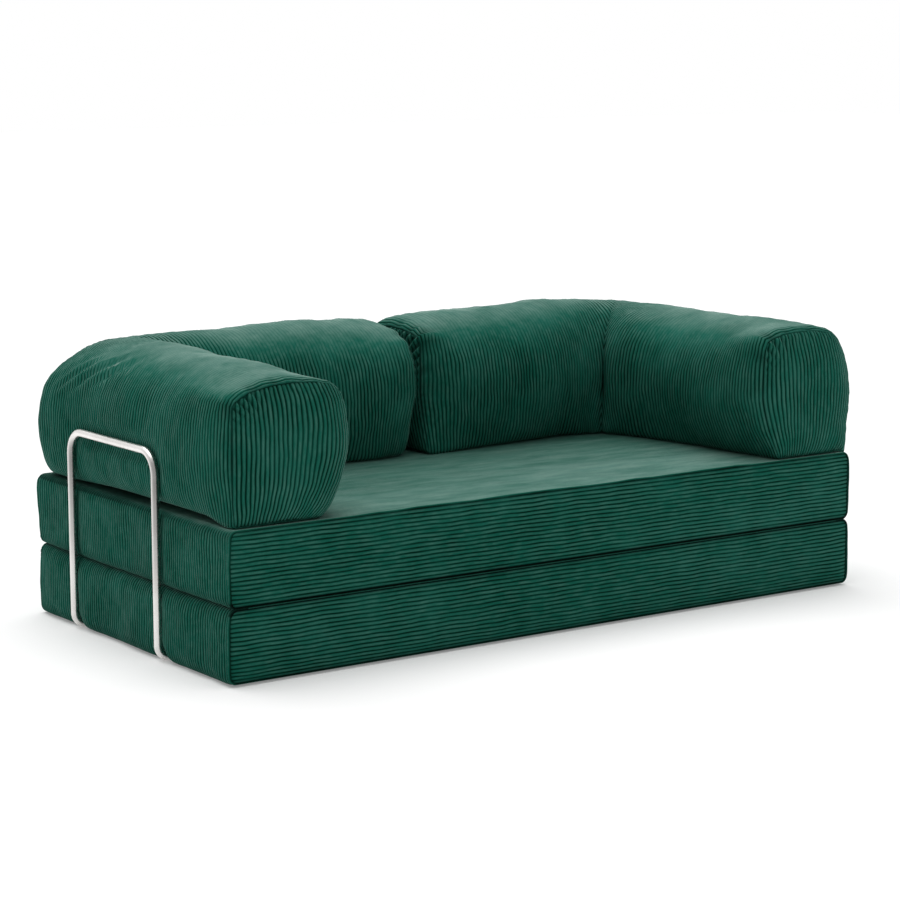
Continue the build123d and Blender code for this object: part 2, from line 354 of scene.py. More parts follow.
def bracket_line(x, y, turn):
    """The centre line of a bracket against a face at (x, y), with its feet in the direction of turn."""
    def bend(centre, radius, start, stop):
        angles = np.radians(np.linspace(start, stop, 15))
        return [(centre[0] + radius * math.cos(a), centre[1] + radius * math.sin(a)) for a in angles]

    foot = [(TOE, TUBE)]
    foot += bend((FOOT_BEND - TUBE_LINE, TUBE + FOOT_BEND), FOOT_BEND, 270, 180)
    post = [(-TUBE_LINE, z) for z in np.linspace(0.050, BAR - 0.062, 24)]
    shoulder = bend((POST - TOP_BEND, BAR - TOP_BEND), TOP_BEND, 0, 90)
    half = [(u, POST, z) for u, z in foot + post] + [(-TUBE_LINE, s, z) for s, z in shoulder]
    half += [(-TUBE_LINE, s, BAR) for s in np.linspace(POST - 0.06, 0, 8)]
    line = half + [(u, -s, z) for u, s, z in half[::-1]]
    c, s = math.cos(turn), math.sin(turn)
    return np.array([(x + u * c - v * s, y + u * s + v * c, z) for u, v, z in line])


BRACKETS = {
    "left": bracket_line(-LENGTH / 2, SIDE_PLACE, 0),
    "right": bracket_line(LENGTH / 2, SIDE_PLACE, math.pi),
    "back_left": bracket_line(-REAR_PLACE, DEPTH / 2, -math.pi / 2),
    "back_right": bracket_line(REAR_PLACE, DEPTH / 2, -math.pi / 2),
}


def dense(line, step=0.003):
    """A line in space with a point at every step."""
    run = np.concatenate([[0], np.cumsum(np.linalg.norm(np.diff(line, axis=0), axis=1))])
    at = np.arange(0, run[-1], step)
    return np.column_stack([np.interp(at, run, line[:, k]) for k in range(3)])


def pressed_by(points, names, inward):
    """Moves the points that lie in a bracket's tube out of it, towards the direction inward."""
    flat = points.reshape(-1, 3).copy()
    clear = TUBE + TOUCH
    for name in names:
        line = dense(BRACKETS[name])
        low, high = line.min(0) - 0.05, line.max(0) + 0.05
        close = np.where(((flat > low) & (flat < high)).all(1))[0]
        for block in np.array_split(close, max(1, len(close) // BLOCK)):
            p = flat[block]
            best = np.full(len(p), 1e9)
            away = np.zeros_like(p)
            for chunk in np.array_split(line, 8):
                d = p[:, None, :] - chunk[None, :, :]
                r = np.linalg.norm(d, axis=2)
                k = r.argmin(1)
                r = r[np.arange(len(p)), k]
                better = r < best
                best[better] = r[better]
                away[better] = d[np.arange(len(p)), k][better]
            toward = away / np.maximum(best, 1e-6)[:, None] * 0.5 + inward(p)
            toward /= np.linalg.norm(toward, axis=1, keepdims=True)
            ahead = (away * toward).sum(1)
            reach = np.sqrt(np.maximum(ahead ** 2 + clear ** 2 - best ** 2, 0)) - ahead
            flat[block] = p + toward * np.where(best < clear, reach, 0)[:, None]
    return flat.reshape(points.shape)


def bracket_distance(points, name, axis):
    """Distance from points to a bracket's centre line, seen along axis."""
    keep = [k for k in range(3) if k != axis]
    line = dense(BRACKETS[name], 0.006)[:, keep]
    flat = points.reshape(-1, 3)[:, keep]
    out = np.zeros(len(flat))
    for block in np.array_split(np.arange(len(flat)), max(1, len(flat) // BLOCK)):
        out[block] = np.linalg.norm(flat[block][:, None, :] - line[None], axis=2).min(1)
    return out.reshape(points.shape[:-1])


def leg_grids(end, width, other, run):
    """One leg of a bolster in leg coordinates: u from the outer side, t from the free end and z above
    the seat. Gives the wrap, the panel that closes the free end, and the bead along their seam."""
    body = body_profile(width)
    outline = soften(resample(np.array(end["seam"]) / 1000, 1200), 4.5)
    centre = np.array([width * CENTRE[0], BOLSTER * CENTRE[1]])
    radius_body, radius_seam = polar(body[:-1], centre), polar(outline, centre)
    end_round, bulge = end["round"], end["bulge"]

    def turned(angle):
        """How far the seam lies back on the side that the panel turns round."""
        at, depth = end["turn"]
        return depth * smooth((np.cos(angle - at) - 0.5) / 0.5)

    # where the rows lie: along the rounded end first, then straight on
    arc_share = 0.92
    share = np.linspace(1, 0, 400)
    draw = (1 - np.sqrt(1 - (arc_share * share) ** 2)) / (1 - math.sqrt(1 - arc_share ** 2))
    t_round = bulge + end_round * (1 - share)
    way = np.concatenate([[0], np.cumsum(np.hypot(np.diff(t_round), 0.016 * np.diff(draw)))])
    at, wale = wales_between(0, way[-1] + (run - bulge - end_round))
    t = np.where(at < way[-1], np.interp(at, way, t_round), bulge + end_round + at - way[-1])
    drawn = np.where(at < way[-1], np.interp(at, way, draw), 0.0)[:, None]

    # the part of each row that the mitre leaves, with a little overlap where the legs meet
    reach = np.maximum(width * (run - t) / other, 0)
    reach = reach + 0.003 * smooth((reach / width - 0.42) / 0.1)
    u = body[:, 0]
    outer = int(np.argmin(u))
    lengths = travelled(body)
    limit = np.clip(reach, u.min() + 0.0004, u.max())
    low_cut = np.interp(-limit, -u[:outer + 1], lengths[:outer + 1])
    high_cut = np.interp(limit, u[outer:], lengths[outer:])
    full = reach >= u.max()
    low_cut[full], high_cut[full] = 0, lengths[-1]
    s = np.hstack([
        low_cut[:, None] + (lengths[outer] - low_cut[:, None]) * np.linspace(0, 1, 36),
        lengths[outer] + (high_cut[:, None] - lengths[outer]) * np.linspace(0, 1, 52)[1:],
    ])

    # the cross-section at each row, between the seam's outline and the body's
    pu, pz = np.interp(s, lengths, body[:, 0]), np.interp(s, lengths, body[:, 1])
    angle = section_angle(pu, pz, width)
    top, outer_side, inner_side = end["rolls"]
    edge_roll = np.where(np.cos(angle) < 0, outer_side, inner_side) * np.abs(np.cos(angle)) ** 1.5
    edge_roll = edge_roll + top * np.clip(np.sin(angle), 0, 1) ** 1.5
    like_end = (1 - smooth(t / end["carry"]))[:, None]
    full_radius = radius_body(angle) * (1 - like_end) + (radius_seam(angle) + edge_roll) * like_end
    ratio = (full_radius * (1 - drawn) + radius_seam(angle) * drawn) / radius_body(angle)
    pu, pz = centre[0] + (pu - centre[0]) * ratio, centre[1] + (pz - centre[1]) * ratio
    pz = np.maximum(pz, 0.0005)
    pt = t[:, None] + turned(angle) * (1 - smooth(at / 0.20))[:, None]
    to_mitre = ((run - pt) * width - pu * other) / math.hypot(width, other)
    wrap = np.stack([pu, pt, pz], axis=-1), wale[:, None], at[:, None], to_mitre, full

    # the end panel, whose upright wales follow its sides
    across, panel_wale = wales_between(0, 1, end["wales"])
    f = np.linspace(0, 1, 48)
    f = f - 0.11 * np.sin(2 * math.pi * f) / 2
    inset = fill_outline(outline, np.array(end["corners"]) / 1000, across, f) - centre
    inset = inset * (1 - 0.0012 / np.maximum(np.linalg.norm(inset, axis=2, keepdims=True), 0.02))
    angle = np.arctan2(inset[..., 1], inset[..., 0])
    rho = np.hypot(inset[..., 0], inset[..., 1]) / radius_seam(angle)
    crown = 1 - (1 - np.clip((1 - rho) / 0.62, 0, 1)) ** 2
    depth = bulge * (1 - crown) + turned(angle) * np.clip(rho, 0, 1) ** 5
    panel = np.stack([inset[..., 0] + centre[0], depth, inset[..., 1] + centre[1]], axis=-1)
    edge = np.clip(1 - rho, 0, 1) * radius_seam(angle)
    panel = panel, np.broadcast_to(panel_wale[:, None], edge.shape), edge

    # a bead of cloth that fills the groove of the seam, darkened with painted shade
    line = outline[::3]
    angle = np.arctan2(line[:, 1] - centre[1], line[:, 0] - centre[0])
    line = centre + (line - centre) * (1 - BEAD_DEPTH / radius_seam(angle))[:, None]
    outward = (line - centre) / np.linalg.norm(line - centre, axis=1, keepdims=True)
    ring = np.linspace(0, 2 * math.pi, 9)
    closed = np.append(np.arange(len(line)), 0)
    bead = np.zeros((len(closed), len(ring), 3))
    bead[..., 0] = line[closed, :1] + outward[closed, :1] * (BEAD * np.cos(ring))
    bead[..., 1] = bulge + BEAD_DEPTH + turned(angle[closed])[:, None] + BEAD * np.sin(ring)
    bead[..., 2] = np.maximum(line[closed, 1:] + outward[closed, 1:] * (BEAD * np.cos(ring)), 0.0012)
    return wrap, panel, bead


def to_world(kind, side, p):
    """Leg coordinates to the scene's. side is -1 for the left bolster and 1 for the right one."""
    u, t, z = p[..., 0], p[..., 1], p[..., 2]
    if kind == "arm":
        return np.stack([side * (LENGTH / 2 - u), -DEPTH / 2 + t, SEAT + z], axis=-1)
    return np.stack([side * (GAP / 2 + t), DEPTH / 2 - u, SEAT + z], axis=-1)


def round_corner(p, side, radius):
    """Rounds the bolster's outer corner, seen from above."""
    cx, cy = side * (LENGTH / 2 - radius), DEPTH / 2 - radius
    dx, dy = (p[..., 0] - cx) * side, p[..., 1] - cy
    inside = (dx > 0) & (dy > 0)
    scale = np.where(inside, np.maximum(dx, dy) / np.maximum(np.hypot(dx, dy), 1e-9), 1)
    out = p.copy()
    out[..., 0] = np.where(inside, cx + side * dx * scale, p[..., 0])
    out[..., 1] = np.where(inside, cy + dy * scale, p[..., 1])
    return out


def settle(p, side):
    """The bolster as it stands: undercut along the inner side of each leg, drawn back at the inner
    corner, with a crown that falls away to the outer corner and a foot that lifts on the left."""
    x, y, z = np.abs(p[..., 0]), p[..., 1], p[..., 2] - SEAT
    from_side, from_back = LENGTH / 2 - x, DEPTH / 2 - y
    to_mitre = (from_back * ARM_WIDTH - from_side * BACK_WIDTH) / math.hypot(ARM_WIDTH, BACK_WIDTH)
    on_arm, on_back = smooth(to_mitre / 0.09 + 1), smooth(-to_mitre / 0.09 + 1)
    low = np.clip(1 - z / 0.17, 0, 1) ** 1.4
    arm_side = smooth((from_side / ARM_WIDTH - 0.45) / 0.4)
    back_side = smooth((from_back / BACK_WIDTH - 0.45) / 0.4)
    in_x = np.interp(y, [-0.5, -0.186, 0.018, 0.16], [-0.022, -0.014, 0.016, 0.055])
    in_y = np.interp(x, [0.0, 0.27, 0.515, 0.65], [0.060, 0.026, 0.002, 0.045])
    corner = np.exp(-(((x - 0.66) / 0.13) ** 2 + ((y - 0.13) / 0.13) ** 2))
    outside = np.clip(1 - z / 0.08, 0, 1) * smooth((x - 0.90) / 0.08) * 0.012 * (side > 0)
    belly = 0.014 * arm_side * on_arm * smooth((-0.28 - y) / 0.16)
    belly = belly * np.sin(math.pi * np.clip(z / 0.37, 0, 1))
    out = p.copy()
    out[..., 0] = p[..., 0] - side * (low * arm_side * on_arm * in_x + corner * 0.010 - outside + belly)
    out[..., 1] = y - low * back_side * on_back * in_y + corner * 0.028

    high = np.clip(z / BOLSTER, 0, 1) ** 2
    fall = 0.056 * np.exp(-((x - 1) ** 2 + (y - 0.5) ** 2) / 0.17 ** 2)
    sag = 0.0
    if side > 0:
        sag = 0.010 * near(y + 0.08, 0.24) * smooth((x - 0.6) / 0.1)
        sag = sag - 0.008 * near(x - 0.45, 0.22) * smooth((y - 0.1) / 0.1)
    out[..., 2] = p[..., 2] - high * (fall + sag)
    if side < 0:
        lift = 0.015 * (smooth((y + 0.47) / 0.12) * (1 - 0.7 * smooth((y - 0.05) / 0.35)))
        out[..., 2] += lift * smooth((0.095 - from_side) / 0.075) * np.clip(1 - z / 0.11, 0, 1)
    return out


def fold(p, a, b, width, depth):
    """How far the cloth sinks in a wrinkle from a to b, with a low ridge on each side."""
    a, b = np.array(a), np.array(b)
    run = b - a
    t = np.clip(((p - a) @ run) / (run @ run), 0, 1)
    d = np.linalg.norm(p - (a + t[..., None] * run), axis=-1) / width
    fade = np.sin(math.pi * np.clip(t, 0.02, 0.98)) ** 0.6
    return depth * fade * (near(d, 1) - 0.55 * near(d - 2.0, 0.9))


def seam_roll(distance, radius, depth):
    """How far the cloth dips towards a seam, rolling over like a filled edge."""
    x = 1 - np.clip(distance / radius, 0, 1)
    return depth * (1 - np.sqrt(np.clip(1 - x ** 2, 0, 1)))


def gathers(distance, angle, groups, count):
    """Small tucks that stand across a seam, strongest near the angles of the groups."""
    strength = 0.35
    for at, width, gain in groups:
        strength = strength + gain * near((angle - at + math.pi) % (2 * math.pi) - math.pi, width)
    wave = np.sin(count * angle + 1.1 * np.sin(3 * angle + 0.7) + 0.8 * np.sin(7 * angle + 2.0))
    reach = 0.020 + 0.006 * np.minimum(strength, 4)
    fade = np.exp(-(distance / reach) ** 1.5)
    return 0.0017 * strength * wave * fade * (1 - np.exp(-distance / 0.003))


def seam_shade(distance, line, pucker):
    """The shade beside a seam that is dark by line, darker still in the hollows of its tucks."""
    return 1 - line * near(distance, 0.004) - 0.45 * np.clip(-pucker / 0.003, 0, 1)


def rest_on_slab(p, side):
    """Keeps a bolster above the mattress. The right one's foot sinks over the rolled edge below it."""
    beyond = np.clip((np.abs(p[..., 0]) - 1 + END_ROLL) / END_ROLL, 0, 0.999)
    drop = END_ROLL * (1 - np.sqrt(1 - beyond ** 2)) * (side > 0)
    over = p[..., 2] - SEAT
    out = p.copy()
    out[..., 2] = p[..., 2] - drop * np.clip(1 - over / 0.03, 0, 1)
    out[..., 2] = np.maximum(out[..., 2], SEAT - drop + TOUCH)
    return out


def bolster(side):
    """One L-shaped bolster, as an arm leg and a back leg. side is -1 for the left one, 1 for the right."""
    name = "left" if side < 0 else "right"
    legs = {"arm": (ARM_WIDTH, BACK_WIDTH, DEPTH), "back": (BACK_WIDTH, ARM_WIDTH, (LENGTH - GAP) / 2)}
    for kind, (width, other, run) in legs.items():
        end = ENDS[f"{name}_{kind}"]
        is_arm = kind == "arm"
        flip = is_arm != (side < 0)
        # the axis across the leg, which way is out along it, the face there and its bracket
        axis, out, face, tube = (0, side, LENGTH / 2, name) if is_arm else (1, 1, DEPTH / 2, "back_" + name)
        wrap, panel, bead = leg_grids(end, width, other, run)

        # the wrap, which covers the whole length of the leg
        wrap, wale, from_seam, to_mitre, full = wrap
        calm = smooth((from_seam - 0.01) / 0.02) * smooth(to_mitre / 0.04)
        wrap[..., 1] += 0.0009 * wobble(wrap * (1, 1, 1.3)) * calm
        across, height = wrap[..., 0] / width, wrap[..., 2]
        world = settle(round_corner(to_world(kind, side, wrap), side, CORNER), side)
        from_core = world - np.array([side * (LENGTH / 2 - 0.17), DEPTH / 2 - 0.18, SEAT + 0.17])
        from_core[..., 1 - axis] = 0
        normal = outward_normals(world, from_core)

        free = smooth(height / 0.05)
        pucker = gathers(from_seam, section_angle(wrap[..., 0], height, width), *end["tucks"]) * free
        to_mitre = np.maximum(to_mitre, 0)
        hollow = smooth((across - 0.72) / 0.2)
        crease = (0.0005 + 0.002 * hollow) * near(to_mitre, 0.009)
        full_side = smooth((0.30 - across) / 0.3) * np.sin(math.pi * np.clip(height / 0.34, 0, 1)) ** 0.7
        swell = 0.011 * full_side * smooth(from_seam / 0.10) if is_arm else 0.006 * full_side
        if is_arm and side > 0:
            swell = swell + 0.015 * full_side * smooth(from_seam / 0.06) * near(from_seam - 0.15, 0.14)
        offset = free * (0.0022 * lumps(world) + 0.0005 * jitter(world))
        offset = offset + pucker - seam_roll(from_seam, 0.015, 0.0065) - crease * free + swell
        for wrinkle in WRINKLES[name]:
            offset = offset - fold(world, *wrinkle)
        # the pile lies flatter on top, and the bracket holds the outer face back
        flatter = 0.8 * smooth((normal[..., 2] - 0.35) / 0.45)
        flatter = flatter * smooth(from_seam / 0.05) * (1 - 0.9 * near(to_mitre, 0.10))
        wale = 1 - (1 - wale) * (1 - flatter)
        outwards = smooth((normal[..., axis] * out - 0.3) / 0.4)
        room = face - 0.0005 + 0.03 * smooth((bracket_distance(world, tube, axis) - 0.011) / 0.07)
        offset = offset - outwards * np.clip(np.abs(world[..., axis]) + offset - room, 0, None)
        world = rest_on_slab(finish_surface(world, normal, wale, offset), side)
        inward = np.zeros(3)
        inward[axis] = -out
        world = pressed_by(world, [tube], lambda p: np.tile(inward, (len(p), 1)))
        # painted shade beside the seam and in its tucks, and along the mitre, more in its hollow
        shade = seam_shade(from_seam, end["line"], pucker) - (0.24 + 0.12 * hollow) * near(to_mitre, 0.006)

        # the panel that closes the free end
        panel, panel_wale, edge = panel
        panel[..., 0] += 0.0008 * wobble(panel * (1, 1, 0.8)) * smooth((edge - 0.006) / 0.02)
        closing = settle(to_world(kind, side, panel), side)
        normal = outward_normals(closing, (0, -1, 0) if is_arm else (-side, 0, 0))
        pucker = gathers(edge, section_angle(panel[..., 0], panel[..., 2], width), *end["tucks"])
        offset = 0.0012 * lumps(closing) - seam_roll(edge, 0.015, 0.0060) + pucker
        closing = rest_on_slab(finish_surface(closing, normal, panel_wale, offset, RIDGE * 1.25), side)

        bead = settle(to_world(kind, side, bead), side)
        plain = np.ones(bead.shape[:2])
        piece = make_piece(
            f"{name}_{kind}_corduroy",
            [
                (world, wale, np.clip(shade, 0, 1), full, flip),
                (closing, panel_wale, np.clip(seam_shade(edge, end["line"], pucker), 0, 1), None, flip),
                # the bead in the seam's groove gets painted shade
                (bead, 0.7 * plain, (0.85 - end["line"]) * plain, None, flip),
            ],
            corduroy)
        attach(piece, f"{name}_bolster")
        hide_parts(f"{name}_{kind}_cover", f"{name}_{kind}_wadding", f"{name}_{kind}_foam")


def lift_over_feet(p):
    """The underside gives over the bracket feet."""
    out = p.copy()
    z = p[..., 2]
    low = np.clip(1 - z / 0.07, 0, 1) ** 1.5
    for name, line in BRACKETS.items():
        axis = 1 if name.startswith("back") else 0
        inner = np.abs(line[0][axis]) - 0.004
        out_to = np.sign(line[0][axis]) * p[..., axis]
        covered = np.where(out_to > inner, 1, near(np.clip(inner - out_to, 0, 1), 0.015))
        for foot in (line[0][1 - axis], line[-1][1 - axis]):
            d = np.maximum(np.abs(p[..., 1 - axis] - foot) - 0.009, 0)
            out[..., 2] = np.maximum(out[..., 2], z + 0.0212 * low * covered * near(d, 0.016))
    return out


def slab_loop(half_z):
    """A mattress's outline in the upright plane along its length, from the middle of the top round to
    itself."""
    flat = np.concatenate([np.linspace(0, 0.93, 17), np.linspace(0.945, 1 - END_ROLL, 4)])
    turn = np.radians(np.linspace(90, 0, 9))
    rolled = [1 - END_ROLL, half_z - END_ROLL] + END_ROLL * np.column_stack([np.cos(turn), np.sin(turn)])
    side = np.column_stack([np.ones(9), np.linspace(half_z - END_ROLL, 0, 10)[1:]])
    quarter = np.vstack([np.column_stack([flat[:-1], np.full(len(flat) - 1, half_z)]), rolled, side])
    right = np.vstack([quarter, quarter[::-1][1:] * [1, -1]])
    return np.vstack([right, right[::-1][1:] * [-1, 1]])


def slab_wrap(name, bottom):
    """The panel that wraps a mattress's top, rolled ends and underside."""
    half_z = SLAB / 2
    rows, wale = wales_between(-DEPTH / 2 + 0.0015, DEPTH / 2 - 0.003)
    loop = slab_loop(half_z)
    p = np.zeros((len(rows), len(loop), 3))
    p[..., 0], p[..., 2] = loop[None, :, 0], loop[None, :, 1]
    p[..., 1] = rows[:, None]
    past_x = np.clip((np.abs(p[..., 0]) - (1 - END_ROLL)) / END_ROLL, 0, 1)
    past_z = np.clip((np.abs(p[..., 2]) - (half_z - END_ROLL)) / END_ROLL, 0, 1)
    end = np.abs(p[..., 0]) > 1 - END_ROLL
    nx = np.where(end, np.sign(p[..., 0]) * past_x, 0)
    nz = np.where(end, np.sign(p[..., 2]) * past_z, np.sign(p[..., 2]))
    size = np.maximum(np.hypot(nx, nz), 1e-9)
    normal = np.zeros_like(p)
    normal[..., 0], normal[..., 2] = nx / size, nz / size
    upright = np.abs(normal[..., 0])
    front, back = rows[:, None] + DEPTH / 2, DEPTH / 2 - rows[:, None]

    world = p.copy()
    world[..., 2] += bottom + half_z
    world[..., 1] += 0.0007 * wobble(world * 0.8) * smooth((np.minimum(front, back) - 0.01) / 0.03)

    # the edges in front and behind roll towards their seams, and the ends swell
    welt = 0.0022 * near(front - 0.0065, 0.0040)
    offset = -(seam_roll(front, 0.006, 0.006) - welt + seam_roll(back, 0.009, 0.006))
    full = 0.0025
    if name == "lower":
        full = full + 0.006 * (world[..., 0] < 0) * smooth(np.minimum(front, back) / 0.08)
    swell = full * smooth((1 - np.abs(p[..., 2]) / half_z) / 0.5)
    offset = offset + upright ** 2 * (swell + 0.0016 * lumps(world * 1.7) + 0.0004 * jitter(world))
    if name == "upper":
        seen = smooth((0.64 - np.abs(world[..., 0])) / 0.06) * smooth((0.10 - world[..., 1]) / 0.05)
        seen = seen * (normal[..., 2] > 0.5)
        offset = offset + seen * (0.0018 + 0.0008 * lumps(world * 1.4))
    for tube, side in (("left", -1), ("right", 1)):
        dent = 0.0065 * near(bracket_distance(world, tube, 0), 0.022)
        offset = offset - (np.sign(world[..., 0]) == side) * upright ** 2 * dent

    # people sit in front, so the pile is less brushed towards the back; painted shade also darkens the seat
    # towards the back, and more in its corners by the bolsters
    top = (name == "upper") * (normal[..., 2] > 0.5)
    behind = np.maximum(SEAT_BACK - world[..., 1], 0)
    beside = np.maximum(SEAT_SIDE - np.abs(world[..., 0]), 0)
    unbrushed_and_painted_shade = near(behind, 0.40) * top
    corner = np.exp(-(behind / 0.16) ** 2 - (beside / 0.16) ** 2) * top
    flatter = 0.78 * (name == "upper") * smooth((normal[..., 2] - 0.55) / 0.35) * smooth(front / 0.03)
    pile = 1 - (1 - wale[:, None]) * (1 - flatter * (1 - 0.3 * unbrushed_and_painted_shade))
    world = finish_surface(world, normal, pile, offset)

    # room for the feet below and for the hinge leaves between the mattresses
    leaf = 0.0003 + 0.0012 * ((np.abs(world[..., 0]) < 0.952) & (world[..., 1] < -0.438))
    if name == "lower":
        world = lift_over_feet(world)
        world[..., 2] = np.minimum(np.maximum(world[..., 2], bottom), SLAB - leaf)
    else:
        world[..., 2] = np.maximum(world[..., 2], bottom + leaf)

    def inward(q):
        above = smooth(q[:, 2] / FOOT_ZONE)
        out = np.zeros_like(q)
        out[:, 0] = -np.sign(q[:, 0]) * smooth((np.abs(q[:, 0]) - 0.96) / 0.03) * above
        out[:, 2] = 1 - above
        out[np.abs(out).sum(1) < 1e-6] = (0, 0, 1)
        return out

    world = pressed_by(world, ["left", "right"], inward)
    if name == "lower":
        world[..., 2] += 0.006 * near(front, 0.022) * np.clip(1 - world[..., 2] / 0.04, 0, 1)
    # painted shade: in the seams in front and behind, on the rolled top and bottom edges of the left ends,
    # towards the back of the seat and its corners, and where the two mattresses meet in front
    shade = 1 - 0.6 * near(front, 0.002) - 0.4 * near(back, 0.004)
    rim = np.clip(np.abs(world[..., 2] - bottom - half_z) - half_z + 0.034, 0, 0.034) / 0.034
    shade = shade - 0.40 * rim * upright * (world[..., 0] < 0) - 0.34 * unbrushed_and_painted_shade - 0.15 * corner
    facing = normal[..., 2] * (1 if name == "lower" else -1) > 0.3
    shade = np.clip(shade - 0.8 * facing * near(front, 0.014), 0, 1)
    world[..., 1] = np.maximum(world[..., 1], -DEPTH / 2 + TOUCH)
    return world, pile, shade, np.ones(len(rows), bool), False


def slab_face(name, bottom, where, low, high):
    """The face in front (where is -1) or behind (1) from low to high, measured from the middle of the
    mattress, with level wales. A face behind opens round the zip at the middle."""
    half_z = SLAB / 2
    xs = np.concatenate([
        [-1], np.linspace(-0.995, -0.96, 7), np.linspace(-0.93, 0.93, 80), np.linspace(0.96, 0.995, 7), [1]])
    levels, wale = wales_between(low, high)
    levels, wale = levels[:, None], wale[:, None]
    to_zip = np.abs(levels)
    over = np.clip((to_zip - (half_z - END_ROLL)) / END_ROLL, 0, 1)
    reach = 1 - END_ROLL * (1 - np.sqrt(np.clip(1 - over ** 2, 0, 1))) - 0.0015
    q = np.zeros((len(levels), len(xs), 3))
    q[..., 0] = reach * xs[None, :]
    q[..., 1] = where * DEPTH / 2
    q[..., 2] = levels + bottom + half_z
    q[..., 2] += 0.0006 * wobble(q) * smooth((half_z - to_zip - 0.006) / 0.02)
    opened = smooth((0.925 - np.abs(xs)) / 0.012)[None, :] * (where > 0)
    q[..., 2] += np.sign(low + high) * 0.0065 * opened * (1 - to_zip / half_z)

    edge = np.minimum(half_z - to_zip, (1 - np.abs(xs))[None, :])
    meet = half_z - levels * (1 if name == "lower" else -1)
    swell = 0.004 * smooth(edge / 0.045) - seam_roll(edge, 0.006, 0.004) - seam_roll(meet, 0.012, 0.005)
    swell = swell + 0.0012 * lumps(q * 1.6) * smooth(edge / 0.03)
    if where < 0:
        swell = np.minimum(swell - 0.0052, -0.0002)
    else:
        swell = swell - 0.004 - seam_roll(to_zip, 0.006, 0.0015 + 0.0035 * opened)
        for tube in ("back_left", "back_right"):
            swell = swell - 0.004 * near(bracket_distance(q, tube, 1), 0.022)
    q = finish_surface(q, np.array([0, where, 0]), wale, swell)

    def inward(p):
        above = smooth(p[:, 2] / FOOT_ZONE)
        return np.stack([0 * above, -above, 1.02 - above], axis=1)

    # painted shade along the edges of the face and in the crease where the two mattresses meet
    shade = 1 - 0.35 * near(edge, 0.003) - 0.85 * near(meet, 0.0065)
    if where > 0:
        if name == "lower":
            q = lift_over_feet(q)
        q = pressed_by(q, ["back_left", "back_right"], inward)
        # painted shade along the zip's opening
        shade = shade - 0.5 * near(to_zip, 0.003)
    elif name == "lower":
        # the foot rolls up off the floor, and painted shadow darkens its bottom rows
        q[..., 2] += 0.006 * np.clip(1 - q[..., 2] / 0.04, 0, 1)
        shade = shade - 0.8 * near(half_z + levels, 0.010)
    return q, np.broadcast_to(wale, edge.shape), np.clip(shade, 0, 1), None, where < 0


def slab(name, bottom):
    """A mattress. bottom is the level of its base."""
    rim = SLAB / 2 - 0.0022
    parts = [slab_wrap(name, bottom)]
    for where, low, high in ((-1, -rim, rim), (1, -rim, 0.0), (1, 0.0, rim)):
        parts.append(slab_face(name, bottom, where, low, high))
    piece = make_piece(f"{name}_corduroy", parts, corduroy_seat)
    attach(piece, f"{name}_mattress")
    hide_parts(f"{name}_cover", f"{name}_foam")


def node_setup(name):
    material = bpy.data.materials.new(name)
    material.use_nodes = True
    tree = material.node_tree
    return material, tree, tree.nodes["Principled BSDF"]


def rgba(value):
    """A grey level, or red, green and blue, as the four numbers of a colour."""
    return (value, value, value, 1) if isinstance(value, (int, float)) else (*value, 1)


def feed(tree, node, values):
    """Sets a node's inputs. Each value is a number, a colour or another node's output."""
    for key, value in values.items():
        if isinstance(value, bpy.types.NodeSocket):
            tree.links.new(value, node.inputs[key])
        else:
            node.inputs[key].default_value = rgba(value) if isinstance(value, tuple) else value


def ramp(tree, source, *stops):
    """Maps a value to a colour: each stop is a position and a grey level or a colour."""
    node = tree.nodes.new("ShaderNodeValToRGB")
    elements = node.color_ramp.elements
    for element, (at, colour) in zip(elements, (stops[0], stops[-1])):
        element.position, element.color = at, rgba(colour)
    for at, colour in stops[1:-1]:
        elements.new(at).color = rgba(colour)
    feed(tree, node, {"Fac": source})
    return node.outputs["Color"]


def maths(tree, kind, a, b):
    node = tree.nodes.new("ShaderNodeMath")
    node.operation = kind
    feed(tree, node, {0: a, 1: b})
    return node.outputs[0]


def mix(tree, factor, a, b, kind="MIX"):
    node = tree.nodes.new("ShaderNodeMix")
    node.data_type = "RGBA"
    node.blend_type = kind
    feed(tree, node, {0: factor, 6: a, 7: b})
    return node.outputs[2]


def noise(tree, coordinates, stretch, scale, detail, rough=0.55):
    mapping = tree.nodes.new("ShaderNodeMapping")
    mapping.inputs["Scale"].default_value = stretch
    feed(tree, mapping, {"Vector": coordinates})
    node = tree.nodes.new("ShaderNodeTexNoise")
    feed(tree, node, {"Scale": scale, "Detail": detail, "Roughness": rough, "Vector": mapping.outputs[0]})
    return node.outputs["Fac"]


def facing(tree, blend):
    """0 where a surface faces the viewer and 1 where it turns away."""
    node = tree.nodes.new("ShaderNodeLayerWeight")
    feed(tree, node, {"Blend": blend})
    return node.outputs["Facing"]


def height_of(tree, vector):
    node = tree.nodes.new("ShaderNodeSeparateXYZ")
    feed(tree, node, {"Vector": vector})
    return node.outputs["Z"]


def add_bump(tree, shader, height, strength, distance):
    node = tree.nodes.new("ShaderNodeBump")
    feed(tree, node, {"Strength": strength, "Distance": distance, "Height": height})
    feed(tree, shader, {"Normal": node.outputs["Normal"]})


